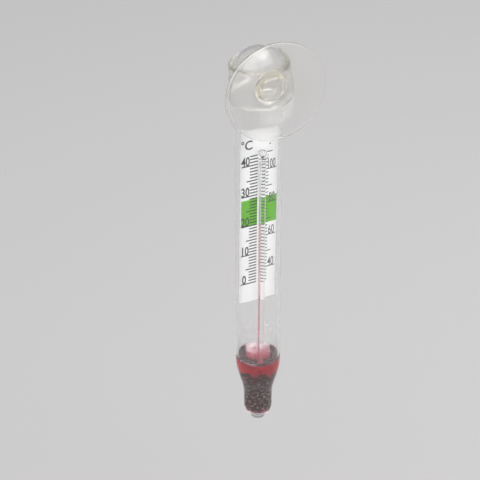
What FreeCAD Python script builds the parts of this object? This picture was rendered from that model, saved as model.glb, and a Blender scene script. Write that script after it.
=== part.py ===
import FreeCAD, Part

import math
import os
import random

# Aquarium glass thermometer held by a clear suction cup, in millimetres.
# Row frame: the origin is the centre of the cup's contact face, -Y points out of that face (into the
# pane it sticks to), +Z points up along the glass tube.
# Heights called H_... are measured upward from a datum just below the glass tip, which is at H_TIP,
# and are turned into row heights by up().

# suction cup, moulded in one piece with the collar that grips the tube
CUP_RADIUS = 13.0
CONTACT_RADIUS = 12.6
CUP_HOLLOW_RADIUS = 7.0
CUP_HOLLOW_DEPTH = 0.8
CUP_EDGE_THICKNESS = 0.8
CUP_ROOT_RADIUS = 3.4
CUP_ROOT_THICKNESS = 3.3
NECK_WIDTH = 5.6
NECK_HEIGHT = 5.4
NECK_EDGE_ROUND = 1.4
COLLAR_WALL = 1.25
COLLAR_EDGE_ROUND = 0.5
COLLAR_RUNNING_GAP = 0.05
H_CUP_AXIS = 106.8
H_COLLAR_BOTTOM = 100.5
H_COLLAR_TOP = 109.6

# glass envelope
TUBE_RADIUS = 6.0
TUBE_WALL = 0.55
TUBE_STANDOFF = 11.6
TUBE_TURN_DEG = 4.1
H_DOME_CENTRE = 107.8
H_JACKET_BOTTOM = 22.5
NOSE_RADIUS = 3.82
NOSE_FLARE = 0.03
BULB_WALL = 0.5
PIP_RADIUS = 2.05
PIP_END_RADIUS = 1.5
H_TAPER_TOP = 21.0
H_TAPER_BOTTOM = 9.0
H_NOSE_BOTTOM = 5.2
H_PIP_TOP = 2.25
H_CHAMBER_FLOOR = 3.1
H_TIP = 0.9

# bowl-shaped partition between the bulb and the dry upper tube
SEPTUM_THICKNESS = 0.4
SEPTUM_DIP = 1.7
SEPTUM_SEAM = 0.6
H_SEPTUM_RIM = 21.9

# capillary: the stem leans away from the tube's axis toward its head, and its bore is off its centre
STEM_RADIUS = 0.85
BORE_RADIUS = 0.16
BORE_SHIFT_LEFT = 0.2
BORE_SHIFT_BACK = 0.2
HEAD_RADIUS = 1.25
HEAD_HALF_HEIGHT = 1.15
HEAD_CHAMBER_RADIUS = 0.62
STEM_FOOT_OFFSET = 1.80
STEM_HEAD_OFFSET = 2.52
H_STEM_BOTTOM = 18.4
H_STEM_TOP = 84.5
H_HEAD_CENTRE = 85.3

# scale card, leaning forward at its top, and its graduation, which sets the spirit column's travel
CARD_WIDTH = 10.44
CARD_THICKNESS = 0.25
CARD_FOOT_SETBACK = 0.15
CARD_HEAD_SETBACK = -1.42
H_CARD_BOTTOM = 39.9
H_CARD_TOP = 93.2
H_ZERO_MARK = 45.85
DEGREE_PITCH = 0.903
SPIRIT_READING = 21.0
COLUMN_GAP = 0.01

# ballast
SHOT_RADIUS = 0.65
SHOT_GAP = 0.04
SHOT_SEED = 11
SHOT_TRIES = 400
H_BALLAST_TOP = 15.6
LIQUID_GAP = 0.01


def up(height_above_tip):
    """Row height of a point given its height above the glass tip."""
    return height_above_tip - H_CUP_AXIS


def edge_line(start, end):
    """Straight outline edge between two (radius, height) points."""
    points = [FreeCAD.Vector(p[0], 0, p[1]) for p in (start, end)]
    return Part.LineSegment(*points).toShape()


def edge_arc(start, middle, end):
    """Circular outline edge through three (radius, height) points."""
    points = [FreeCAD.Vector(p[0], 0, p[1]) for p in (start, middle, end)]
    return Part.Arc(*points).toShape()


def edge_bezier(poles):
    """Smooth outline edge with the given (radius, height) poles."""
    curve = Part.BezierCurve()
    curve.setPoles([FreeCAD.Vector(p[0], 0, p[1]) for p in poles])
    return curve.toShape()


def lathe(edges):
    """Solid of revolution about Z from a closed outline of (radius, height) edges."""
    face = Part.Face(Part.Wire(edges))
    return face.revolve(FreeCAD.Vector(0, 0, 0), FreeCAD.Vector(0, 0, 1), 360)


def on_tube_axis(shape):
    """Move a solid built about the Z axis, tip at height 0, onto the tube's axis."""
    placed = shape.copy()
    placed.rotate(FreeCAD.Vector(0, 0, 0), FreeCAD.Vector(0, 0, 1), TUBE_TURN_DEG)
    placed.translate(FreeCAD.Vector(0, TUBE_STANDOFF, up(0)))
    return placed


def save(shape, node):
    """Write one sub-part as parts/NODE.step and report its volume."""
    shape.exportStep(os.path.join("parts", node + ".step"))
    print(f"{node}: {len(shape.Solids)} solid(s), {shape.Volume:.2f} mm3, valid {shape.isValid()}")


# ---------------------------------------------------------------- outlines of the bulb

def taper_poles(tube_drop, nose_drop):
    """Poles of the bulb's shoulder, from the full tube to the nose, moved inward by the two drops."""
    wide = TUBE_RADIUS - tube_drop
    narrow = NOSE_RADIUS + NOSE_FLARE - nose_drop
    return [(wide, H_TAPER_TOP), (wide, 16.6), (narrow, 13.0), (narrow, H_TAPER_BOTTOM)]


def floor_poles():
    """Poles of the chamber's rounded floor, from its wall to its axis."""
    wall = NOSE_RADIUS - BULB_WALL
    floor = H_CHAMBER_FLOOR
    return [(wall, H_NOSE_BOTTOM), (wall, floor + 0.8), (2.0, floor), (0, floor)]


def bezier_point(poles, t):
    """Point at parameter t on a cubic with four (radius, height) poles."""
    weights = ((1 - t) ** 3, 3 * t * (1 - t) ** 2, 3 * t * t * (1 - t), t ** 3)
    return tuple(sum(w * p[axis] for w, p in zip(weights, poles)) for axis in (0, 1))


def chamber_edges(gap, wall_top):
    """Outline edges of the chamber's wall and floor, from its top down to the axis."""
    upper = taper_poles(TUBE_WALL + gap, BULB_WALL + gap)
    lower = floor_poles()
    lower = [(max(r - gap, 0), h + gap) for r, h in lower]
    return [
        edge_line(wall_top, upper[0]),
        edge_bezier(upper),
        edge_line(upper[3], lower[0]),
        edge_bezier(lower),
    ], lower[3]


# ---------------------------------------------------------------- holder

def make_suction_cup():
    """Clear cup pressed flat, its neck, and the collar round the tube, as one moulding."""
    back_slope = [
        (CUP_RADIUS - 0.15, CUP_EDGE_THICKNESS),
        (8.5, 1.4),
        (5.2, 1.6),
        (CUP_ROOT_RADIUS, CUP_ROOT_THICKNESS),
    ]
    dish = lathe([
        edge_arc((0, CUP_HOLLOW_DEPTH), (3.6, 0.74 * CUP_HOLLOW_DEPTH), (CUP_HOLLOW_RADIUS, 0)),
        edge_line((CUP_HOLLOW_RADIUS, 0), (CONTACT_RADIUS, 0)),
        edge_arc((CONTACT_RADIUS, 0), (CUP_RADIUS, 0.4), back_slope[0]),
        edge_bezier(back_slope),
        edge_line(back_slope[3], (0, CUP_ROOT_THICKNESS)),
        edge_line((0, CUP_ROOT_THICKNESS), (0, CUP_HOLLOW_DEPTH)),
    ])
    # the lathe works about Z: lay its axis along +Y, away from the pane
    dish.rotate(FreeCAD.Vector(0, 0, 0), FreeCAD.Vector(1, 0, 0), -90)

    collar_height = H_COLLAR_TOP - H_COLLAR_BOTTOM
    collar_foot = FreeCAD.Vector(0, TUBE_STANDOFF, up(H_COLLAR_BOTTOM))
    along = FreeCAD.Vector(0, 0, 1)
    bore_radius = TUBE_RADIUS + COLLAR_RUNNING_GAP
    collar = Part.makeCylinder(bore_radius + COLLAR_WALL, collar_height, collar_foot, along)
    rims = [e for e in collar.Edges if isinstance(e.Curve, Part.Circle)]
    collar = collar.makeFillet(COLLAR_EDGE_ROUND, rims)

    neck_front = CUP_ROOT_THICKNESS - 0.6
    neck_length = TUBE_STANDOFF - neck_front
    corner = FreeCAD.Vector(-NECK_WIDTH / 2, neck_front, -NECK_HEIGHT / 2)
    neck = Part.makeBox(NECK_WIDTH, neck_length, NECK_HEIGHT, corner)
    lengthwise = [e for e in neck.Edges if abs(e.tangentAt(e.FirstParameter).y) > 0.9]
    neck = neck.makeFillet(NECK_EDGE_ROUND, lengthwise)

    bore = Part.makeCylinder(bore_radius, collar_height + 2, collar_foot - along, along)
    return dish.fuse([neck, collar]).cut(bore).removeSplitter()


# ---------------------------------------------------------------- glass

def make_jacket_tube():
    """Outer tube with its sealed, domed top."""
    inner = TUBE_RADIUS - TUBE_WALL
    half = math.sqrt(0.5)
    edges = [
        edge_line((inner, H_JACKET_BOTTOM), (TUBE_RADIUS, H_JACKET_BOTTOM)),
        edge_line((TUBE_RADIUS, H_JACKET_BOTTOM), (TUBE_RADIUS, H_DOME_CENTRE)),
        edge_arc(
            (TUBE_RADIUS, H_DOME_CENTRE),
            (TUBE_RADIUS * half, H_DOME_CENTRE + TUBE_RADIUS * half),
            (0, H_DOME_CENTRE + TUBE_RADIUS),
        ),
        edge_line((0, H_DOME_CENTRE + TUBE_RADIUS), (0, H_DOME_CENTRE + inner)),
        edge_arc(
            (0, H_DOME_CENTRE + inner),
            (inner * half, H_DOME_CENTRE + inner * half),
            (inner, H_DOME_CENTRE),
        ),
        edge_line((inner, H_DOME_CENTRE), (inner, H_JACKET_BOTTOM)),
    ]
    return on_tube_axis(lathe(edges))


def make_bulb_chamber():
    """Drawn-down lower end: shoulder, nose and the small sealing pip."""
    bore_radius = TUBE_RADIUS - TUBE_WALL
    outer = taper_poles(0, 0)
    pip_side = (PIP_RADIUS, H_TIP + 0.6)
    pip_top = (PIP_RADIUS + 0.1, H_PIP_TOP)
    nose_end = [pip_top, (3.1, 2.8), (NOSE_RADIUS, 3.8), (NOSE_RADIUS, H_NOSE_BOTTOM)]
    inside, floor_centre = chamber_edges(0, (bore_radius, H_JACKET_BOTTOM))
    edges = inside + [
        edge_line(floor_centre, (0, H_TIP)),
        edge_line((0, H_TIP), (PIP_END_RADIUS, H_TIP)),
        edge_arc((PIP_END_RADIUS, H_TIP), (PIP_RADIUS - 0.15, H_TIP + 0.17), pip_side),
        edge_line(pip_side, pip_top),
        edge_bezier(nose_end),
        edge_line((NOSE_RADIUS, H_NOSE_BOTTOM), outer[3]),
        edge_bezier(outer[::-1]),
        edge_line(outer[0], (TUBE_RADIUS, H_JACKET_BOTTOM)),
        edge_line((TUBE_RADIUS, H_JACKET_BOTTOM), (bore_radius, H_JACKET_BOTTOM)),
    ]
    return on_tube_axis(lathe(edges))


def stem_frame(height):
    """Point on the stem's axis at a height above the tip, before the tube's own turn."""
    share = (height - H_STEM_BOTTOM) / (H_HEAD_CENTRE - H_STEM_BOTTOM)
    offset = STEM_FOOT_OFFSET + share * (STEM_HEAD_OFFSET - STEM_FOOT_OFFSET)
    return FreeCAD.Vector(0, -offset, height)


def stem_direction():
    """Unit vector up the leaning stem, before the tube's own turn."""
    axis = stem_frame(H_HEAD_CENTRE) - stem_frame(H_STEM_BOTTOM)
    return axis.normalize()


def rod(radius, low, high):
    """Round rod along the leaning stem between two heights above the tip."""
    foot = stem_frame(low)
    length = (stem_frame(high) - foot).Length
    return Part.makeCylinder(radius, length, foot, stem_direction())


def bore_rod(radius, low, high):
    """Round rod along the stem's off-centre bore between two heights above the tip."""
    core = rod(radius, low, high)
    core.translate(FreeCAD.Vector(-BORE_SHIFT_LEFT, BORE_SHIFT_BACK, 0))
    return core


def septum_underside(inward, down):
    """Poles of the partition's wet side, from its rim to the axis, moved inward and down."""
    rim = TUBE_RADIUS - TUBE_WALL - inward
    top = H_SEPTUM_RIM - down
    low = top - SEPTUM_DIP
    return [(rim, top), (rim - 0.8, top - 0.6 * SEPTUM_DIP), (0.5 * rim, low), (0, low)]


def make_septum():
    """Thin bowl-shaped partition fused across the tube, pierced by the stem."""
    wet = septum_underside(0, 0)
    rim = wet[0][0]
    seam = (rim, H_SEPTUM_RIM + SEPTUM_SEAM)
    centre = wet[3][1] + SEPTUM_THICKNESS
    dry = [seam, (rim - 0.9, centre + 0.35 * SEPTUM_DIP), (0.45 * rim, centre), (0, centre)]
    edges = [
        edge_bezier(wet),
        edge_line(wet[3], dry[3]),
        edge_bezier(dry[::-1]),
        edge_line(seam, wet[0]),
    ]
    bowl = lathe(edges)
    return on_tube_axis(bowl.cut(rod(STEM_RADIUS, H_STEM_BOTTOM, H_STEM_TOP)))


def make_capillary_stem():
    """Straight capillary from inside the bulb to below its head."""
    outer = rod(STEM_RADIUS, H_STEM_BOTTOM, H_STEM_TOP)
    bore = bore_rod(BORE_RADIUS, H_STEM_BOTTOM - 1, H_STEM_TOP + 1)
    return on_tube_axis(outer.cut(bore))


def make_capillary_head():
    """Rounded, closed head of the capillary with its small expansion chamber."""
    ball = Part.makeSphere(1.0)
    stretch = FreeCAD.Matrix()
    stretch.scale(HEAD_RADIUS, HEAD_RADIUS, HEAD_HALF_HEIGHT)
    head = ball.transformGeometry(stretch)
    tilt = FreeCAD.Rotation(FreeCAD.Vector(0, 0, 1), stem_direction())
    head.Placement = FreeCAD.Placement(stem_frame(H_HEAD_CENTRE), tilt)
    chamber = Part.makeSphere(HEAD_CHAMBER_RADIUS, stem_frame(H_HEAD_CENTRE))
    passage = bore_rod(BORE_RADIUS, H_STEM_TOP - 0.5, H_HEAD_CENTRE)
    below_stem_end = rod(2 * HEAD_RADIUS, H_STEM_TOP - 3, H_STEM_TOP)
    return on_tube_axis(head.cut(below_stem_end).cut(chamber.fuse(passage)))


# ---------------------------------------------------------------- contents

def make_scale_card():
    """Flat paper card standing across the tube, its top resting forward against the glass."""
    rise = H_CARD_TOP - H_CARD_BOTTOM
    advance = CARD_FOOT_SETBACK - CARD_HEAD_SETBACK
    lean = math.atan2(advance, rise)
    card = Part.makeBox(CARD_WIDTH, CARD_THICKNESS, math.hypot(rise, advance))
    card.rotate(FreeCAD.Vector(0, 0, 0), FreeCAD.Vector(1, 0, 0), math.degrees(lean))
    card.translate(FreeCAD.Vector(-CARD_WIDTH / 2, CARD_FOOT_SETBACK, H_CARD_BOTTOM))
    return on_tube_axis(card)


def resting_height(wall_points, radius_from_axis):
    """Lowest height at which a shot that far from the axis clears the chamber's wall and floor."""
    height = H_CHAMBER_FLOOR + SHOT_RADIUS
    reach = SHOT_RADIUS + SHOT_GAP
    while height < H_TAPER_TOP:
        nearest = min(math.hypot(radius_from_axis - r, height - h) for r, h in wall_points)
        wall_here = min(wall_points, key=lambda point: abs(point[1] - height))
        if nearest >= reach and radius_from_axis < wall_here[0]:
            return height
        height += 0.05
    return H_TAPER_TOP


def shot_centres():
    """Centres of the shots, dropped one by one, each into the lowest place among several tries."""
    draw = random.Random(SHOT_SEED)
    steps = [i / 40 for i in range(41)]
    walls = [bezier_point(taper_poles(TUBE_WALL, BULB_WALL), t) for t in steps]
    floor = [bezier_point(floor_poles(), t) for t in steps]
    nose = [(NOSE_RADIUS - BULB_WALL, H_NOSE_BOTTOM + t * (H_TAPER_BOTTOM - H_NOSE_BOTTOM)) for t in steps]
    points = walls + floor + nose
    widest = TUBE_RADIUS - BULB_WALL - SHOT_RADIUS - SHOT_GAP
    rest = [resting_height(points, 0.1 * i) for i in range(int(widest / 0.1) + 2)]
    apart = 2 * SHOT_RADIUS + SHOT_GAP
    placed = []
    while True:
        best = None
        for _ in range(SHOT_TRIES):
            radius = widest * math.sqrt(draw.random())
            angle = 2 * math.pi * draw.random()
            x = radius * math.cos(angle)
            y = radius * math.sin(angle)
            height = rest[int(radius / 0.1) + 1]
            for other in placed:
                level = math.hypot(x - other[0], y - other[1])
                if level < apart:
                    height = max(height, other[2] + math.sqrt(apart * apart - level * level))
            if best is None or height < best[2]:
                best = (x, y, height)
        if best[2] + SHOT_RADIUS > H_BALLAST_TOP:
            return placed
        placed.append(best)


def make_ballast_shot():
    """Loose ball shots that weigh the bulb down, as one group of separate balls."""
    balls = [Part.makeSphere(SHOT_RADIUS, FreeCAD.Vector(*centre)) for centre in shot_centres()]
    return on_tube_axis(Part.Compound(balls))


def make_spirit_reservoir():
    """Red spirit between the top of the ballast and the septum, round the stem's foot."""
    top = septum_underside(LIQUID_GAP, 5 * LIQUID_GAP)
    wall, floor_centre = chamber_edges(LIQUID_GAP, top[0])
    fill = lathe(wall + [edge_line(floor_centre, top[3]), edge_bezier(top[::-1])])
    ballast_space = Part.makeCylinder(TUBE_RADIUS, H_BALLAST_TOP + LIQUID_GAP)
    stub = rod(STEM_RADIUS + LIQUID_GAP, H_STEM_BOTTOM - LIQUID_GAP, H_SEPTUM_RIM + 2)
    return on_tube_axis(fill.cut(ballast_space).cut(stub))


def make_spirit_column():
    """Thread of spirit in the bore, from the stem's foot to the reading."""
    meniscus = H_ZERO_MARK + SPIRIT_READING * DEGREE_PITCH
    return on_tube_axis(bore_rod(BORE_RADIUS - COLUMN_GAP, H_STEM_BOTTOM, meniscus))


def main():
    os.makedirs("parts", exist_ok=True)
    save(make_suction_cup(), "suction_cup")
    save(make_jacket_tube(), "jacket_tube")
    save(make_bulb_chamber(), "bulb_chamber")
    save(make_septum(), "septum")
    save(make_capillary_stem(), "capillary_stem")
    save(make_capillary_head(), "capillary_head")
    save(make_scale_card(), "scale_card")
    save(make_ballast_shot(), "ballast_shot")
    save(make_spirit_reservoir(), "spirit_reservoir")
    save(make_spirit_column(), "spirit_column")


main()
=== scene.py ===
import math

import bpy
import numpy as np
from mathutils import Matrix, Vector


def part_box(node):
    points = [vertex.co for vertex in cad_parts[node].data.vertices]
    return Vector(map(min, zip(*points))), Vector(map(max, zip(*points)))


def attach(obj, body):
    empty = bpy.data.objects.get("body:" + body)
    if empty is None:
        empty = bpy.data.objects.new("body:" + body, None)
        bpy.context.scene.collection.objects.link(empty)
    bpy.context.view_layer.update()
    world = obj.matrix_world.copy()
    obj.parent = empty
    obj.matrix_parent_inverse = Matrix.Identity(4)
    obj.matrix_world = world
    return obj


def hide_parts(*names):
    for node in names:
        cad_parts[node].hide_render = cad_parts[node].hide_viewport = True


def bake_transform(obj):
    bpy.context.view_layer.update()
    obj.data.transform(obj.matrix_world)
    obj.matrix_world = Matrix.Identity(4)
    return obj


# Aquarium glass thermometer in its suction cup. Blender's units are metres. Outlines are drawn in
# millimetres, in the tube's own frame: Z up the tube's axis and +Y away from the pane. That frame's
# origin is on the tube's axis, 0.9 mm below the glass tip and 106.8 mm below the cup's axis.

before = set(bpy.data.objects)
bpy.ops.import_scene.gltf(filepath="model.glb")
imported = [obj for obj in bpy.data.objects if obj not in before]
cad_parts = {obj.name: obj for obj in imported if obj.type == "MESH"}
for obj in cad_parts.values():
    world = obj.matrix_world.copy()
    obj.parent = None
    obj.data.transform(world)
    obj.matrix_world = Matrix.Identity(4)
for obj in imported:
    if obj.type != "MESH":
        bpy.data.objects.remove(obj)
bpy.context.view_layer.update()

MM = 0.001
cup_low, cup_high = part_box("suction_cup")
tube_low, tube_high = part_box("jacket_tube")
bulb_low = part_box("bulb_chamber")[0]

# ---------------------------------------------------------------- driving sizes, in millimetres

CUP_RADIUS = (cup_high.x - cup_low.x) / 2 / MM
TUBE_RADIUS = (tube_high.y - tube_low.y) / 2 / MM
TUBE_Y = (tube_high.y + tube_low.y) / 2 / MM
CUP_AXIS = 106.8
TUBE_TOP = tube_high.z / MM + CUP_AXIS
TIP = bulb_low.z / MM + CUP_AXIS
TUBE_TURN_DEG = 4.1

TUBE_WALL = 0.55
BULB_WALL = 0.5
NOSE_RADIUS = 3.82
PIP_RADIUS = 2.05
TAPER_TOP = 21.0
TAPER_BOTTOM = 9.0
NOSE_BOTTOM = 5.2
SEPTUM_RIM = 21.9
SEPTUM_THICKNESS = 0.4
SEPTUM_DIP = 1.7
SEPTUM_SEAM = 0.6
CHAMBER_FLOOR = 3.1
WETTING = 0.05

STEM_FOOT = Vector((-0.15, -1.8, 18.4))
STEM_HEAD = Vector((0, -2.52, 85.3))
STEM_RADIUS = 0.85
BORE_RADIUS = 0.14
BORE_SHIFT = (-0.26, 0.2)
HEAD_RADIUS = 1.25
HEAD_HALF_HEIGHT = 1.15

CARD_WIDTH = 10.44
CARD_THICKNESS = 0.25
CARD_BOTTOM = 39.9
CARD_TOP = 93.2
# depth of the card's printed face at its bottom and its top, from the tube's axis
CARD_FOOT = 0.15
CARD_HEAD = -1.42
# height of 0 degrees Celsius, millimetres to a degree, and the degrees the thread shows
ZERO_MARK = 45.85
DEGREE = 0.903
READING = 21.0

COLLAR_BOTTOM = 100.5
COLLAR_TOP = 109.6
COLLAR_BORE = TUBE_RADIUS + 0.05
COLLAR_WALL = 1.25
CUP_HOLLOW_DEPTH = 0.8
CUP_SEAL_RADIUS = 7.0
NECK_ROOT_RADIUS = 3.4
NECK_ROOT_THICKNESS = 3.3
NECK_HALF_WIDTH = 2.7
NECK_HALF_HEIGHT = 2.6
NECK_FLARE = 0.5
NECK_SQUARENESS = 0.45

# the print stands a little in front of the card's face and reaches just into it
INK_FRONT = -0.012
INK_BACK = 0.004
BAND_FRONT = -0.006
CELSIUS_LINE = 0.33
FAHRENHEIT_LINE = 0.29
# marks run from beside the capillary to an outer end: the long, the middle and the short ones'
CELSIUS_INNER = -0.62
CELSIUS_OUTER = (-4.95, -3.65, -2.8)
FAHRENHEIT_INNER = 0.1
FAHRENHEIT_OUTER = (4.85, 3.45, 2.4)
NUMERAL_HEIGHT = 2.6
NUMERAL_LIFT = 0.15
SIGN_BASE = 86.8
# a numeral's height as a share of the built-in font's size
CAP_HEIGHT = 0.7
BAND_DEGREES = (19.85, 28.8)
BAND_LEFT = (-4.97, -0.62)
BAND_RIGHT = (-0.05, 5.1)

SEGMENTS = 128

ROW_FROM_TUBE = (
    Matrix.Translation((0, TUBE_Y * MM, -CUP_AXIS * MM))
    @ Matrix.Rotation(math.radians(TUBE_TURN_DEG), 4, "Z")
    @ Matrix.Scale(MM, 4)
)
ROW_FROM_CUP = Matrix.Scale(MM, 4)

# The card's head leans towards the pane. In its own frame its printed face is at depth 0.
CARD_LEAN = math.atan2(CARD_FOOT - CARD_HEAD, CARD_TOP - CARD_BOTTOM)
ROW_FROM_CARD = (
    ROW_FROM_TUBE
    @ Matrix.Translation((0, CARD_FOOT, CARD_BOTTOM))
    @ Matrix.Rotation(CARD_LEAN, 4, "X")
    @ Matrix.Translation((0, 0, -CARD_BOTTOM))
)


# ---------------------------------------------------------------- outlines

def bezier(poles, steps=16):
    """Points along a cubic with four (radius, height) poles, its first point left out."""
    points = []
    for i in range(1, steps + 1):
        t = i / steps
        weights = ((1 - t) ** 3, 3 * t * (1 - t) ** 2, 3 * t * t * (1 - t), t ** 3)
        radius = sum(w * p[0] for w, p in zip(weights, poles))
        height = sum(w * p[1] for w, p in zip(weights, poles))
        points.append((radius, height))
    return points


def arc(centre, radius, start, end, steps=12):
    """Points along a round arc between two angles in degrees, its first point left out."""
    points = []
    for i in range(1, steps + 1):
        angle = math.radians(start + (end - start) * i / steps)
        points.append((centre[0] + radius * math.cos(angle), centre[1] + radius * math.sin(angle)))
    return points


def straight(start, end, steps):
    """Evenly spaced points along a line, its first point left out."""
    return [tuple(a + (b - a) * i / steps for a, b in zip(start, end)) for i in range(1, steps + 1)]


def long_run(start, end, steps, guard=0.1):
    """A straight run with a short step at each end, so that a bend's shading stays at the bend."""
    up = math.copysign(guard, end[1] - start[1])
    first, last = (start[0], start[1] + up), (end[0], end[1] - up)
    return [first] + straight(first, last, steps) + [end]


# ---------------------------------------------------------------- meshes

def signed_volume(points, faces):
    """Volume inside a closed shell, negative where its faces look inward."""
    total = 0
    for face in faces:
        a = points[face[0]]
        for i in range(1, len(face) - 1):
            b, c = points[face[i]], points[face[i + 1]]
            total += np.dot(a, np.cross(b, c))
    return total / 6


def spin(outline, segments=SEGMENTS, cavity=False):
    """Closed shell from an outline of (radius, height) points turned about Z.
    A radius of 0 closes to one point. A cavity's faces look inward."""
    points, rings = [], []
    for radius, height in outline:
        if radius < 1e-6:
            rings.append([len(points)])
            points.append((0, 0, height))
            continue
        rings.append(list(range(len(points), len(points) + segments)))
        for i in range(segments):
            angle = 2 * math.pi * i / segments
            points.append((radius * math.cos(angle), radius * math.sin(angle), height))
    faces = []
    pairs = list(zip(rings, rings[1:]))
    if len(rings[0]) > 1:
        pairs.append((rings[-1], rings[0]))
    for a, b in pairs:
        for i in range(segments):
            j = (i + 1) % segments
            corners = [a[i % len(a)], a[j % len(a)], b[j % len(b)], b[i % len(b)]]
            face = list(dict.fromkeys(corners))
            if len(face) > 2:
                faces.append(face)
    points = np.array(points, float)
    if (signed_volume(points, faces) < 0) != cavity:
        faces = [face[::-1] for face in faces]
    return points, faces


def build(name, shells, place, material, sharp_deg=40):
    """Object from shells of (points, faces), moved into the row frame by place."""
    points, faces = [], []
    for shell_points, shell_faces in shells:
        faces += [[i + len(points) for i in face] for face in shell_faces]
        points += [tuple(place @ Vector(p)) for p in shell_points]
    mesh = bpy.data.meshes.new(name)
    mesh.from_pydata(points, [], faces)
    mesh.shade_smooth()
    mesh.set_sharp_from_angle(angle=math.radians(sharp_deg))
    obj = bpy.data.objects.new(name, mesh)
    bpy.context.scene.collection.objects.link(obj)
    if material:
        mesh.materials.append(material)
    return obj


def combine(base, others, operation):
    """Boolean of base with each of the others, applied; the others are removed."""
    for other in others:
        modifier = base.modifiers.new("combine", "BOOLEAN")
        modifier.operation = operation
        modifier.solver = "EXACT"
        modifier.object = other
    bpy.context.view_layer.update()
    graph = bpy.context.evaluated_depsgraph_get()
    mesh = bpy.data.meshes.new_from_object(base.evaluated_get(graph))
    base.modifiers.clear()
    base.data = mesh
    for other in others:
        bpy.data.objects.remove(other)
    return base


def smooth(obj, sharp_deg=35):
    obj.data.shade_smooth()
    obj.data.set_sharp_from_angle(angle=math.radians(sharp_deg))
    return obj


# ---------------------------------------------------------------- materials

def new_material(name, **values):
    """Principled material with constants set on the shader's own sockets."""
    material = bpy.data.materials.new(name)
    material.use_nodes = True
    shader = material.node_tree.nodes["Principled BSDF"]
    for key, value in values.items():
        shader.inputs[key.replace("_", " ")].default_value = value
    return material, material.node_tree, shader


def noise(tree, scale, detail=3.0, stretch=(1, 1, 1)):
    """Noise over the object's own metres, stretched along its axes."""
    place = tree.nodes.new("ShaderNodeTexCoord")
    mapping = tree.nodes.new("ShaderNodeMapping")
    mapping.inputs["Scale"].default_value = stretch
    texture = tree.nodes.new("ShaderNodeTexNoise")
    texture.inputs["Scale"].default_value = scale
    texture.inputs["Detail"].default_value = detail
    tree.links.new(place.outputs["Object"], mapping.inputs["Vector"])
    tree.links.new(mapping.outputs["Vector"], texture.inputs["Vector"])
    return texture.outputs["Fac"]


def ranged(tree, value, low, high):
    """The 0 to 1 value spread over low to high."""
    spread = tree.nodes.new("ShaderNodeMapRange")
    spread.inputs["To Min"].default_value = low
    spread.inputs["To Max"].default_value = high
    tree.links.new(value, spread.inputs["Value"])
    return spread.outputs["Result"]


def bump(tree, shader, height, distance, strength=1.0):
    node = tree.nodes.new("ShaderNodeBump")
    node.inputs["Distance"].default_value = distance
    node.inputs["Strength"].default_value = strength
    tree.links.new(height, node.inputs["Height"])
    tree.links.new(node.outputs["Normal"], shader.inputs["Normal"])


def absorb(tree, colour, density):
    """Colour that deepens with the length of the way through the material; density is per metre."""
    volume = tree.nodes.new("ShaderNodeVolumeAbsorption")
    volume.inputs["Color"].default_value = (*colour, 1)
    volume.inputs["Density"].default_value = density
    output = tree.nodes["Material Output"]
    tree.links.new(volume.outputs["Volume"], output.inputs["Volume"])


def make_glass():
    material, tree, shader = new_material(
        "drawn_glass", Base_Color=(1, 1, 1, 1), Transmission_Weight=1.0, IOR=1.51)
    tree.links.new(ranged(tree, noise(tree, 900), 0.0, 0.035), shader.inputs["Roughness"])
    bump(tree, shader, noise(tree, 240, 2.0, (1, 1, 0.25)), 0.00002, 0.35)
    absorb(tree, (0.35, 0.75, 0.6), 8.0)
    return material


def make_pvc():
    material, tree, shader = new_material(
        "clear_soft_pvc", Base_Color=(1, 1, 1, 1), Transmission_Weight=1.0, IOR=1.53)
    tree.links.new(ranged(tree, noise(tree, 700), 0.08, 0.16), shader.inputs["Roughness"])
    bump(tree, shader, noise(tree, 300, 2.0), 0.00004, 0.4)
    absorb(tree, (0.72, 0.68, 0.5), 50.0)
    return material


def make_spirit(name, density):
    material, tree, shader = new_material(
        name, Base_Color=(1, 1, 1, 1), Transmission_Weight=1.0, IOR=1.36)
    tree.links.new(ranged(tree, noise(tree, 500), 0.0, 0.01), shader.inputs["Roughness"])
    absorb(tree, (0.87, 0.2, 0.37), density)
    return material


def two_tone(tree, factor, dark, light):
    """Colour between dark and light, by the factor."""
    mix = tree.nodes.new("ShaderNodeMix")
    mix.data_type = "RGBA"
    mix.inputs["A"].default_value = (*dark, 1)
    mix.inputs["B"].default_value = (*light, 1)
    tree.links.new(factor, mix.inputs["Factor"])
    return mix.outputs["Result"]


def make_card_paper():
    material, tree, shader = new_material("white_card", Roughness=0.65)
    fibres = noise(tree, 2500, 4.0, (1, 1, 0.4))
    colour = two_tone(tree, fibres, (0.93, 0.93, 0.92), (0.97, 0.97, 0.965))
    tree.links.new(colour, shader.inputs["Base Color"])
    bump(tree, shader, fibres, 0.00001, 0.5)
    return material


def make_ink(name, dark, light):
    """Printing ink that lets a little paper show where it is thin."""
    material, tree, shader = new_material(name, Roughness=0.5)
    patches = noise(tree, 6000, 3.0)
    tree.links.new(two_tone(tree, patches, dark, light), shader.inputs["Base Color"])
    bump(tree, shader, patches, 0.000004, 0.5)
    return material


def make_shot_metal():
    material, tree, shader = new_material("dull_shot", Metallic=0.75)
    oxide = noise(tree, 1400, 4.0)
    colour = two_tone(tree, oxide, (0.05, 0.045, 0.035), (0.26, 0.24, 0.2))
    tree.links.new(colour, shader.inputs["Base Color"])
    tree.links.new(ranged(tree, oxide, 0.5, 0.25), shader.inputs["Roughness"])
    bump(tree, shader, noise(tree, 3500, 3.0), 0.00004, 0.6)
    return material


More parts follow.
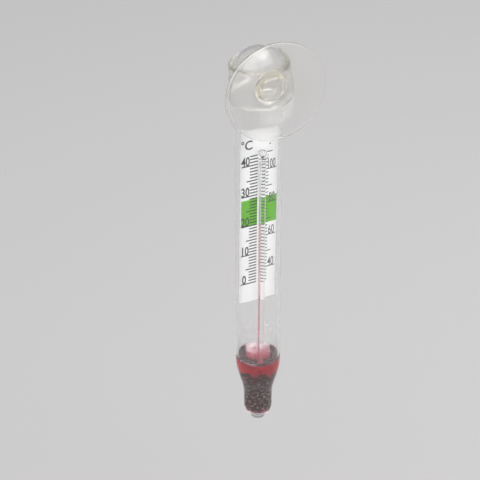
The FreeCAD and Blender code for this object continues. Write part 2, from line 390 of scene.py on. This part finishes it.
glass = make_glass()
pvc = make_pvc()
spirit = make_spirit("red_spirit", 680.0)
thread_spirit = make_spirit("red_spirit_in_bore", 6000.0)
paper = make_card_paper()
ink = make_ink("scale_ink", (0.004, 0.004, 0.006), (0.03, 0.03, 0.033))
grey_ink = make_ink("thin_scale_ink", (0.02, 0.02, 0.024), (0.12, 0.12, 0.125))
faded_ink = make_ink("faded_ink", (0.75, 0.75, 0.75), (0.85, 0.85, 0.84))
green_ink = make_ink("green_ink", (0.1, 0.43, 0.0), (0.15, 0.52, 0.008))
shot_metal = make_shot_metal()


# ---------------------------------------------------------------- glass envelope

def taper(tube_drop, nose_drop):
    """Poles of the bulb's shoulder, from the nose up to the full tube."""
    wide = TUBE_RADIUS - tube_drop
    narrow = NOSE_RADIUS + 0.03 - nose_drop
    lower = (narrow, TAPER_BOTTOM + 4.0)
    upper = (wide, TAPER_TOP - 4.4)
    return [(narrow, TAPER_BOTTOM), lower, upper, (wide, TAPER_TOP)]


def chamber_wall(gap):
    """Chamber's inner surface from its floor's centre up to the full tube, grown outward by gap."""
    inner = NOSE_RADIUS - BULB_WALL + gap
    low = CHAMBER_FLOOR - gap
    floor = [(0, low), (2.0 + gap, low), (inner, CHAMBER_FLOOR + 0.8), (inner, NOSE_BOTTOM)]
    side = taper(TUBE_WALL - gap, BULB_WALL - gap)
    return [floor[0]] + bezier(floor) + long_run(floor[3], side[0], 4) + bezier(side, 24)


def septum_side(wet):
    """Poles of the partition's wet underside or dry top, from the tube's wall in to the axis."""
    rim = TUBE_RADIUS - TUBE_WALL
    low = SEPTUM_RIM - SEPTUM_DIP
    if wet:
        wall = SEPTUM_RIM + SEPTUM_SEAM / 2
        turn = (rim - 0.8, SEPTUM_RIM - 0.6 * SEPTUM_DIP)
        flat = low
    else:
        wall = SEPTUM_RIM + SEPTUM_SEAM
        turn = (rim - 0.9, low + SEPTUM_THICKNESS + 0.35 * SEPTUM_DIP)
        flat = low + SEPTUM_THICKNESS
    return [(rim, wall), turn, (0.48 * rim, flat), (0, flat)]


def make_envelope():
    """Domed tube, drawn-down bulb and partition as the one fused piece of glass that they are."""
    inner = TUBE_RADIUS - TUBE_WALL
    dome_centre = TUBE_TOP - TUBE_RADIUS
    pip_side = (PIP_RADIUS, TIP + 0.8)
    outer = [(0, TIP), (0.8, TIP + 0.02), (1.5, TIP + 0.1)]
    outer += bezier([outer[-1], (1.85, TIP + 0.18), (PIP_RADIUS, TIP + 0.4), pip_side], 6)
    outer += bezier([pip_side, (2.1, TIP + 1.5), (2.5, TIP + 1.6), (2.9, TIP + 2.0)], 8)
    nose_side = (NOSE_RADIUS, NOSE_BOTTOM)
    outer += bezier([outer[-1], (3.5, TIP + 2.6), (NOSE_RADIUS, NOSE_BOTTOM - 1.0), nose_side], 10)
    outer += long_run(outer[-1], taper(0, 0)[0], 4) + bezier(taper(0, 0), 24)
    outer += long_run(outer[-1], (TUBE_RADIUS, dome_centre), 24)
    outer += arc((0, dome_centre), TUBE_RADIUS, 0, 90, 24)
    outer[-1] = (0, TUBE_TOP)

    dry_bowl = septum_side(False)
    dry = [dry_bowl[3]] + bezier(dry_bowl[::-1], 24)
    dry += long_run(dry[-1], (inner, dome_centre), 24)
    dry += arc((0, dome_centre), inner, 0, 90, 24)
    dry[-1] = (0, dome_centre + inner)

    wet_bowl = septum_side(True)
    wet = chamber_wall(0)
    wet += long_run((inner, TAPER_TOP), wet_bowl[0], 3) + bezier(wet_bowl, 24)
    wet[-1] = (0, SEPTUM_RIM - SEPTUM_DIP)

    shells = [spin(outer), spin(dry, cavity=True), spin(wet, cavity=True)]
    envelope = build("glass_envelope", shells, ROW_FROM_TUBE, glass)
    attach(envelope, "thermometer")
    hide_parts("jacket_tube", "bulb_chamber", "septum")


# ---------------------------------------------------------------- capillary

def stem_place():
    """Frame of the leaning stem: its foot at the origin, its length along Z."""
    lean = (STEM_HEAD - STEM_FOOT).to_track_quat("Z", "Y").to_matrix().to_4x4()
    return ROW_FROM_TUBE @ Matrix.Translation(STEM_FOOT) @ lean


STEM_LENGTH = (STEM_HEAD - STEM_FOOT).length


def make_capillary():
    """Thick-walled capillary with its rounded foot, bore, expansion chamber and rounded head."""
    head = STEM_LENGTH
    outline = [(0, 0), (STEM_RADIUS - 0.12, 0)] + arc((STEM_RADIUS - 0.12, 0.12), 0.12, -90, 0, 5)
    outline += long_run((STEM_RADIUS, 0.12), (STEM_RADIUS, head - 2.2), 16)
    top = head + HEAD_HALF_HEIGHT
    waist = (HEAD_RADIUS, head)
    shoulder = [(STEM_RADIUS, head - 1.2), (HEAD_RADIUS, head - 0.9)]
    outline += bezier([outline[-1], *shoulder, waist], 10)
    outline += bezier([waist, (HEAD_RADIUS, head + 0.65), (0.75, top), (0, top)], 10)
    outline[-1] = (0, top)
    chamber = 0.62
    chamber_side = (chamber, head)
    bore_top = (BORE_RADIUS, head - 0.9)
    bore = [(0, head + chamber)]
    bore += bezier([bore[0], (0.4, head + chamber), (chamber, head + 0.3), chamber_side], 8)
    bore += bezier([chamber_side, (chamber, head - 0.4), (BORE_RADIUS, head - 0.5), bore_top], 8)
    bore += straight(bore_top, (BORE_RADIUS, 0.04), 8) + [(0, 0.04)]
    hollow, faces = spin(bore, 48, cavity=True)
    # the bore is off the stem's centre, the chamber is not
    share = np.clip((head - 0.5 - hollow[:, 2]) / 0.5, 0, 1)
    hollow[:, 0] += share * BORE_SHIFT[0]
    hollow[:, 1] += share * BORE_SHIFT[1]
    capillary = build("capillary_glass", [spin(outline, 64), (hollow, faces)], stem_place(), glass)
    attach(capillary, "thermometer")
    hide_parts("capillary_stem", "capillary_head")


def make_spirit_thread():
    """Spirit in the bore with its hollowed meniscus. It wets the bore, reaching into the glass."""
    radius = BORE_RADIUS + 0.01
    top = (height_of(READING) - STEM_FOOT.z) * STEM_LENGTH / (STEM_HEAD.z - STEM_FOOT.z)
    outline = [(0, 0.03), (radius, 0.03)] + straight((radius, 0.03), (radius, top), 40)
    dip = top - 0.1
    outline += bezier([(radius, top), (radius - 0.02, top - 0.05), (0.06, dip), (0, dip)], 6)
    outline[-1] = (0, dip)
    place = stem_place() @ Matrix.Translation((*BORE_SHIFT, 0))
    thread = build("spirit_thread", [spin(outline, 48)], place, thread_spirit)
    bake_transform(thread)
    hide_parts("spirit_column")


# ---------------------------------------------------------------- bulb's contents

def make_spirit_fill():
    """Spirit that fills the bulb, wetting its glass, with the capillary's foot standing in it."""
    inner = TUBE_RADIUS - TUBE_WALL + WETTING
    outline = chamber_wall(WETTING)
    bowl = []
    for radius, height in septum_side(True):
        bowl.append((radius + WETTING * radius / inner, height + WETTING))
    outline += long_run(outline[-1], (inner, bowl[0][1]), 3) + bezier(bowl, 24)
    outline[-1] = (0, bowl[3][1])
    fill = build("spirit_fill", [spin(outline, 96)], ROW_FROM_TUBE, spirit)
    stub_radius = STEM_RADIUS - 0.03
    stub = [(0, 0.03), (stub_radius - 0.12, 0.03)]
    stub += arc((stub_radius - 0.12, 0.15), 0.12, -90, 0, 5)
    stub += [(stub_radius, 4.0), (0, 4.0)]
    cutter = build("stub", [spin(stub, 64)], stem_place(), None)
    smooth(combine(fill, [cutter], "DIFFERENCE"))
    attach(fill, "thermometer")
    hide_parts("spirit_reservoir")


# ---------------------------------------------------------------- card and its print

def card_box(x0, x1, low, high, front, back):
    """Closed box on the card, in the card's own frame; front and back are depths along Y."""
    points = [(x, y, z) for z in (low, high) for y in (front, back) for x in (x0, x1)]
    faces = [(0, 1, 5, 4), (2, 6, 7, 3), (0, 4, 6, 2), (1, 3, 7, 5), (0, 2, 3, 1), (4, 5, 7, 6)]
    return np.array(points, float), [list(f) for f in faces]


def print_layer(name, shells, material):
    layer = build(name, shells, ROW_FROM_CARD, material, 20)
    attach(layer, "thermometer")
    return layer


def height_of(celsius):
    return ZERO_MARK + DEGREE * celsius


def height_of_fahrenheit(fahrenheit):
    return height_of((fahrenheit - 32) / 1.8)


def make_card():
    half = CARD_WIDTH / 2
    sheet = card_box(-half, half, CARD_BOTTOM, CARD_TOP, 0, CARD_THICKNESS)
    card = build("paper_card", [sheet], ROW_FROM_CARD, paper)
    bevel = card.modifiers.new("cut_edges", "BEVEL")
    bevel.width = 0.03 * MM
    bevel.segments = 2
    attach(card, "thermometer")
    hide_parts("scale_card")


def make_marks(name, degrees, height, steps, inner, outer, line, material):
    """One side's marks. The outer ends are for the long, middle and short ones; steps are the
    numbers of degrees between long marks and between middle ones."""
    shells = []
    for degree in degrees:
        if degree % steps[0] == 0:
            end = outer[0]
        elif degree % steps[1] == 0:
            end = outer[1]
        else:
            end = outer[2]
        h = height(degree)
        left, right = min(inner, end), max(inner, end)
        shells.append(card_box(left, right, h - line / 2, h + line / 2, INK_FRONT, INK_BACK))
    print_layer(name, shells, material)


def make_scales():
    """Celsius marks left of the capillary, every degree; Fahrenheit marks right of it, every 2."""
    make_marks("celsius_marks", range(0, 44), height_of, (10, 5),
               CELSIUS_INNER, CELSIUS_OUTER, CELSIUS_LINE, ink)
    make_marks("fahrenheit_marks", range(32, 112, 2), height_of_fahrenheit, (20, 10),
               FAHRENHEIT_INNER, FAHRENHEIT_OUTER, FAHRENHEIT_LINE, grey_ink)


def lettering(name, entries, material, boldness=0.0):
    """Raised print of short texts: each is (text, left edge, base line, height, width share)."""
    shells = []
    for text, left, base, height, squeeze in entries:
        curve = bpy.data.curves.new("lettering", "FONT")
        curve.body = text
        curve.size = height / CAP_HEIGHT
        curve.extrude = (INK_BACK - INK_FRONT) / 2
        curve.offset = boldness
        curve.resolution_u = 4
        source = bpy.data.objects.new("lettering", curve)
        bpy.context.scene.collection.objects.link(source)
        bpy.context.view_layer.update()
        graph = bpy.context.evaluated_depsgraph_get()
        mesh = bpy.data.meshes.new_from_object(source.evaluated_get(graph))
        middle = (INK_BACK + INK_FRONT) / 2
        points = []
        for vertex in mesh.vertices:
            across, up, out = vertex.co
            points.append((left + across * squeeze, middle - out, base + up))
        shells.append((np.array(points), [list(p.vertices) for p in mesh.polygons]))
        bpy.data.objects.remove(source)
    return print_layer(name, shells, material)


def make_lettering():
    celsius = []
    for degree in range(0, 50, 10):
        left = -5.08 if degree else -4.6
        base = height_of(degree) + NUMERAL_LIFT
        celsius.append((str(degree), left, base, NUMERAL_HEIGHT, 0.6))
    lettering("celsius_numerals", celsius, ink, 0.07)
    fahrenheit = []
    for degree in range(40, 120, 20):
        left, squeeze = (2.6, 0.5) if degree < 100 else (1.95, 0.44)
        base = height_of_fahrenheit(degree) + NUMERAL_LIFT
        fahrenheit.append((str(degree), left, base, NUMERAL_HEIGHT, squeeze))
    lettering("fahrenheit_numerals", fahrenheit, grey_ink, 0.04)
    ring = ("°", -5.22, SIGN_BASE + 0.25, 2.3, 0.72)
    letter = ("C", -4.28, SIGN_BASE, 2.6, 0.84)
    lettering("celsius_sign", [ring, letter], ink, 0.05)
    lettering("fahrenheit_sign", [("F", 3.4, SIGN_BASE, 2.2, 0.7)], faded_ink)
    lettering("worn_degree_dot", [(".", 2.44, SIGN_BASE + 0.26, 2.2, 0.8)], ink, 0.06)


def make_comfort_band():
    """Green band that marks the usual aquarium temperatures, broken at the capillary."""
    low, high = (height_of(degree) for degree in BAND_DEGREES)
    shells = [card_box(*side, low, high, BAND_FRONT, INK_BACK) for side in (BAND_LEFT, BAND_RIGHT)]
    print_layer("comfort_band", shells, green_ink)


# ---------------------------------------------------------------- suction cup

def make_cup():
    """Clear moulding: dish pressed flat on the pane, neck, and the collar that grips the tube."""
    rim = CUP_RADIUS
    hollow = CUP_HOLLOW_DEPTH
    seal = (CUP_SEAL_RADIUS, 0.0)
    root = (NECK_ROOT_RADIUS, NECK_ROOT_THICKNESS)
    outline = [(0, hollow)] + bezier([(0, hollow), (3.2, hollow), (5.6, 0.25), seal], 14)
    outline += straight(seal, (rim - 0.5, 0), 6)
    outline += bezier([(rim - 0.5, 0), (rim - 0.05, 0.02), (rim, 0.25), (rim, 0.45)], 6)
    outline += bezier([(rim, 0.45), (rim, 0.8), (rim - 0.25, 0.86), (rim - 0.5, 0.84)], 6)
    outline += bezier([(rim - 0.5, 0.84), (rim - 1.0, 0.78), (rim - 1.2, 0.8), (rim - 1.8, 0.9)], 8)
    outline += bezier([(rim - 1.8, 0.9), (8.0, 1.3), (5.6, 1.5), root], 20)
    outline += straight(outline[-1], (0, NECK_ROOT_THICKNESS), 4)
    outline[-1] = (0, NECK_ROOT_THICKNESS)
    lay_down = Matrix.Rotation(math.radians(-90), 4, "X")
    cup = build("suction_cup_moulding", [spin(outline, 160)], ROW_FROM_CUP @ lay_down, pvc)

    outer = COLLAR_BORE + COLLAR_WALL
    low, high = COLLAR_BOTTOM - CUP_AXIS, COLLAR_TOP - CUP_AXIS
    edge = 0.5
    lip = 0.2
    ring = [(COLLAR_BORE, low + lip)] + arc((COLLAR_BORE + lip, low + lip), lip, 180, 270, 4)
    ring += [(outer - edge, low)] + arc((outer - edge, low + edge), edge, -90, 0, 8)
    ring += straight((outer, low + edge), (outer, high - edge), 8)
    ring += arc((outer - edge, high - edge), edge, 0, 90, 8)
    ring += [(COLLAR_BORE + lip, high)] + arc((COLLAR_BORE + lip, high - lip), lip, 90, 180, 4)
    ring += straight(ring[-1], ring[0], 8)[:-1]
    on_tube = ROW_FROM_CUP @ Matrix.Translation((0, TUBE_Y, 0))
    collar = build("collar", [spin(ring, 160)], on_tube, None)

    neck = build("neck", [neck_shell()], ROW_FROM_CUP, None)
    smooth(combine(cup, [collar, neck], "UNION"))
    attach(cup, "holder")
    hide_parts("suction_cup")


def neck_shell():
    """Neck that flares into the dish at one end and into the collar's wall at the other."""
    start = NECK_ROOT_THICKNESS - 0.9
    reach = COLLAR_BORE + 0.5 * COLLAR_WALL
    sections, around = 14, 64
    points = []
    for s in range(sections + 1):
        t = s / sections
        flare = NECK_FLARE * (2 * t - 1) ** 4
        half_width = NECK_HALF_WIDTH + flare
        half_height = NECK_HALF_HEIGHT + 0.6 * flare
        for i in range(around):
            angle = 2 * math.pi * i / around
            c, n = math.cos(angle), math.sin(angle)
            x = half_width * math.copysign(abs(c) ** NECK_SQUARENESS, c)
            z = half_height * math.copysign(abs(n) ** NECK_SQUARENESS, n)
            end = TUBE_Y - math.sqrt(reach ** 2 - x * x)
            points.append((x, start + (end - start) * t, z))
    faces = []
    for s in range(sections):
        near, far = s * around, (s + 1) * around
        for i in range(around):
            j = (i + 1) % around
            faces.append([near + i, near + j, far + j, far + i])
    points.append((0, start, 0))
    points.append((0, TUBE_Y - reach, 0))
    last = sections * around
    for i in range(around):
        j = (i + 1) % around
        faces.append([len(points) - 2, j, i])
        faces.append([len(points) - 1, last + i, last + j])
    points = np.array(points, float)
    if signed_volume(points, faces) < 0:
        faces = [face[::-1] for face in faces]
    return points, faces


make_envelope()
make_capillary()
make_spirit_thread()
make_spirit_fill()
make_card()
make_comfort_band()
make_scales()
make_lettering()
make_cup()
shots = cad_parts["ballast_shot"]
shots.data.materials.clear()
shots.data.materials.append(shot_metal)


# ---------------------------------------------------------------- floor, light and camera

FLOOR_GAP = 0.06


def make_floor():
    bpy.ops.mesh.primitive_plane_add(size=6, location=(0, 0, bulb_low.z - FLOOR_GAP))
    floor = bpy.context.object
    floor.name = "floor"
    material = new_material("pale_floor", Roughness=0.8, Base_Color=(0.3, 0.296, 0.294, 1))[0]
    floor.data.materials.append(material)


def make_softbox(name, place, aim, size, power):
    light = bpy.data.lights.new(name, "AREA")
    light.shape = "RECTANGLE"
    light.size, light.size_y = size
    light.energy = power
    lamp = bpy.data.objects.new(name, light)
    bpy.context.scene.collection.objects.link(lamp)
    lamp.location = place
    lamp.rotation_mode = "QUATERNION"
    lamp.rotation_quaternion = (Vector(aim) - Vector(place)).to_track_quat("-Z", "Y")


VIEW_AZIMUTH = -21.49
VIEW_ELEVATION = 32.504
VIEW_ROLL = -0.316
VIEW_PLACE = (-0.1387, -0.3279, 0.1853)
VIEW_LENS = 125.72


def make_camera():
    camera = bpy.data.objects.new("camera", bpy.data.cameras.new("camera"))
    bpy.context.scene.collection.objects.link(camera)
    camera.data.lens = VIEW_LENS
    camera.data.sensor_width = 36
    camera.data.clip_start = 0.01
    camera.data.clip_end = 20
    azimuth, elevation, roll = (math.radians(v) for v in (VIEW_AZIMUTH, VIEW_ELEVATION, VIEW_ROLL))
    level = math.cos(elevation)
    back = Vector((math.sin(azimuth) * level, -math.cos(azimuth) * level, math.sin(elevation)))
    right = Vector((math.cos(azimuth), math.sin(azimuth), 0))
    above = back.cross(right)
    rolled_right = math.cos(roll) * right + math.sin(roll) * above
    rolled_above = math.cos(roll) * above - math.sin(roll) * right
    turn = Matrix((rolled_right, rolled_above, back)).transposed()
    camera.matrix_world = Matrix.Translation(VIEW_PLACE) @ turn.to_4x4()
    bpy.context.scene.camera = camera


FRONT_LIGHT_FROM = (-0.2, -0.93, 0.3)
WORLD_BACK, WORLD_FRONT = 0.4, 3.1


def make_world():
    """Even light all round, brighter from the front, where it reaches the card in the tube."""
    world = bpy.data.worlds.new("studio")
    bpy.context.scene.world = world
    world.use_nodes = True
    tree = world.node_tree
    background = tree.nodes["Background"]
    background.inputs["Color"].default_value = (0.99, 0.985, 1.0, 1)
    direction = tree.nodes.new("ShaderNodeTexCoord")
    towards = tree.nodes.new("ShaderNodeVectorMath")
    towards.operation = "DOT_PRODUCT"
    towards.inputs[1].default_value = Vector(FRONT_LIGHT_FROM).normalized()
    spread = tree.nodes.new("ShaderNodeMapRange")
    spread.interpolation_type = "SMOOTHSTEP"
    spread.inputs["From Min"].default_value = 0.05
    spread.inputs["From Max"].default_value = 0.65
    spread.inputs["To Min"].default_value = WORLD_BACK
    spread.inputs["To Max"].default_value = WORLD_FRONT
    tree.links.new(direction.outputs["Generated"], towards.inputs[0])
    tree.links.new(towards.outputs["Value"], spread.inputs["Value"])
    tree.links.new(spread.outputs["Result"], background.inputs["Strength"])


make_floor()
make_softbox("key_light", (-0.5, -0.35, 0.9), (0, 0, -0.05), (0.7, 0.7), 2)
make_softbox("floor_light", (0.14, 0.0, 0.32), (0.12, 0.03, -0.166), (0.4, 0.4), 1.4)
make_camera()
make_world()
bpy.context.scene.view_settings.view_transform = "Standard"
bpy.context.scene.cycles.max_bounces = 32
bpy.context.scene.cycles.transmission_bounces = 32
bpy.context.scene.cycles.glossy_bounces = 12
